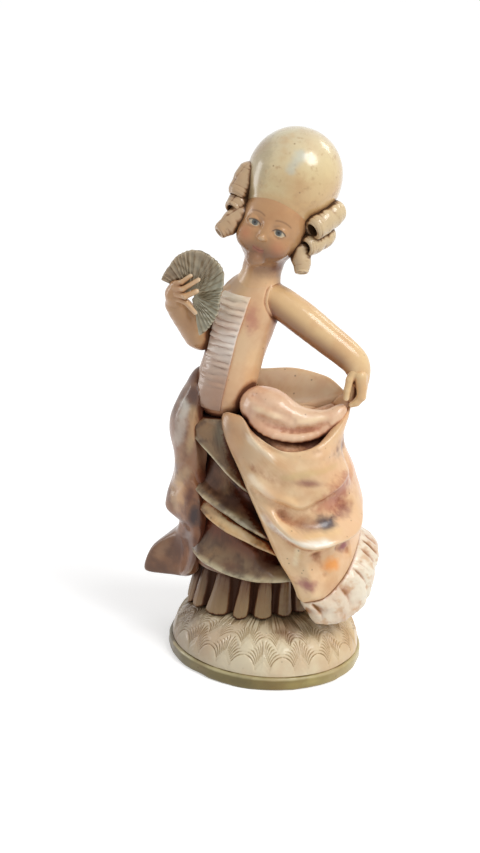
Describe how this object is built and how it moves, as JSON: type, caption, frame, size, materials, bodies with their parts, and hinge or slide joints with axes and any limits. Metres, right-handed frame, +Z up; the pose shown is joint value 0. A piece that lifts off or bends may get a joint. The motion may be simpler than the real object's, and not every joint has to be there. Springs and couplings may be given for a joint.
{
  "type": "lady figurine",
  "caption": "Standing lady figurine of lacquered cast resin on a round base, holding a fan and lifting her swagged overskirt.",
  "frame": {"origin": "centre of the round base's underside, where it stands on a table", "axes": "+Z up along the figure's height, +X to the viewer's right, +Y away from the viewer, so the figure faces -Y"},
  "size_m": [0.0952, 0.0805, 0.215],
  "materials": {
    "base_plate": "olive green glaze under clear gloss lacquer",
    "base_mound": "grey-beige with dark patina under clear gloss lacquer",
    "hem_ruffle": "beige with umber grooves under clear gloss lacquer",
    "underskirt": "olive-beige with umber hollows under clear gloss lacquer",
    "overskirt": "warm tan with red-brown patina under clear gloss lacquer",
    "lace": "off-white with ochre recesses under clear gloss lacquer",
    "bodice": "ochre and mauve-pink under clear gloss lacquer",
    "stomacher": "pale mauve-white under clear gloss lacquer",
    "skin": "ochre-tan under clear gloss lacquer",
    "wig": "cream-yellow under clear gloss lacquer",
    "curls": "cream-tan with umber recesses under clear gloss lacquer",
    "fan": "grey-olive with dark grooves under clear gloss lacquer"
  },
  "bodies": {
    "root": {"base_plate": "base_plate", "base_mound": "base_mound", "hem_ruffle": "hem_ruffle", "underskirt": "underskirt", "overskirt_front_panel": "overskirt", "overskirt_left_drape": "overskirt", "overskirt_back_drape": "overskirt", "overskirt_side_fold": "overskirt", "overskirt_lace_trim": "lace", "bodice": "bodice", "stomacher": "stomacher", "head": "skin", "wig": "wig", "curl_left_top": "curls", "curl_left_middle": "curls", "curl_left_bottom": "curls", "curl_right_top": "curls", "curl_right_middle": "curls", "curl_right_bottom": "curls", "left_arm": "skin", "left_hand": "skin", "right_arm": "skin", "right_hand": "skin", "fan": "fan"}
  },
  "joints": []
}
